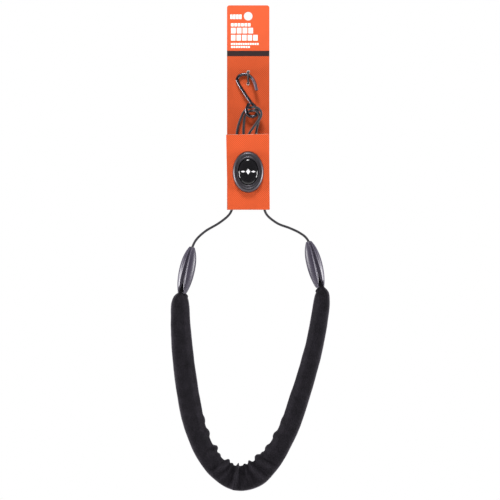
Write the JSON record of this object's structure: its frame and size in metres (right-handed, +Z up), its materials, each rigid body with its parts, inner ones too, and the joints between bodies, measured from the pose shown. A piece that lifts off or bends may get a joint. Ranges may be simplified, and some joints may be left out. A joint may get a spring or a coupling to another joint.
{
  "type": "saxophone neck strap",
  "caption": "Padded U-shaped neck strap on thin cords with an oval slider and an open wire hook, hanging on a narrow orange card with a fold-up front flap.",
  "frame": {"origin": "centre of the hang hole, on the front face of the card's back panel", "axes": "+Z up along the card, +X to the viewer's right, the front faces -Y"},
  "size_m": [0.1588, 0.0186, 0.4832],
  "materials": {
    "orange_card": "satin",
    "elastic_tie": "matte",
    "tie_bar": "satin",
    "gunmetal_bezel": "satin",
    "black_plastic": "satin",
    "black_badge": "gloss",
    "black_nickel_wire": "gloss",
    "black_cord": "matte",
    "smoke_cap": "gloss",
    "pad_fabric": "matte",
    "pad_foam": "matte",
    "webbing": "matte"
  },
  "bodies": {
    "card": {"card_back_panel": "orange_card", "hook_tie": "elastic_tie", "tie_upper_bar": "tie_bar", "tie_lower_bar": "tie_bar", "slider_front_shell": "gunmetal_bezel", "slider_rear_shell": "black_plastic", "slider_badge": "black_badge", "slider_cord_guide": "black_plastic", "left_eye_cord": "black_cord", "right_eye_cord": "black_cord", "slider_turn_cord": "black_cord", "left_pocket_cord": "black_cord", "right_pocket_cord": "black_cord"},
    "flap": {"card_front_flap": "orange_card"},
    "hook": {"wire_hook": "black_nickel_wire"},
    "neck_loop": {"left_lead_cord": "black_cord", "right_lead_cord": "black_cord", "left_cap_outer_half": "smoke_cap", "left_cap_inner_half": "smoke_cap", "left_cord_knot": "black_cord", "right_cap_outer_half": "smoke_cap", "right_cap_inner_half": "smoke_cap", "right_cord_knot": "black_cord", "pad_cover": "pad_fabric", "pad_foam_core": "pad_foam", "pad_webbing": "webbing"}
  },
  "joints": [
    {"name": "flap_fold", "type": "hinge", "parent": "card", "child": "flap", "pos_m": [0, -0.0043, -0.19295], "axis": [1, 0, 0], "range_deg": [0, 100]},
    {"name": "loop_swing", "type": "hinge", "parent": "card", "child": "neck_loop", "pos_m": [0, -0.0016, -0.1945], "axis": [1, 0, 0], "range_deg": [-60, 60], "deforming": ["left_lead_cord", "right_lead_cord"]},
    {"name": "hook_tilt", "type": "hinge", "parent": "card", "child": "hook", "pos_m": [0.0038, -0.006, -0.0958], "axis": [1, 0, 0], "range_deg": [0, 20], "stiffness_Nm_per_rad": 0.02, "springref_deg": -5.73, "deforming": ["left_eye_cord", "right_eye_cord", "hook_tie"]}
  ]
}
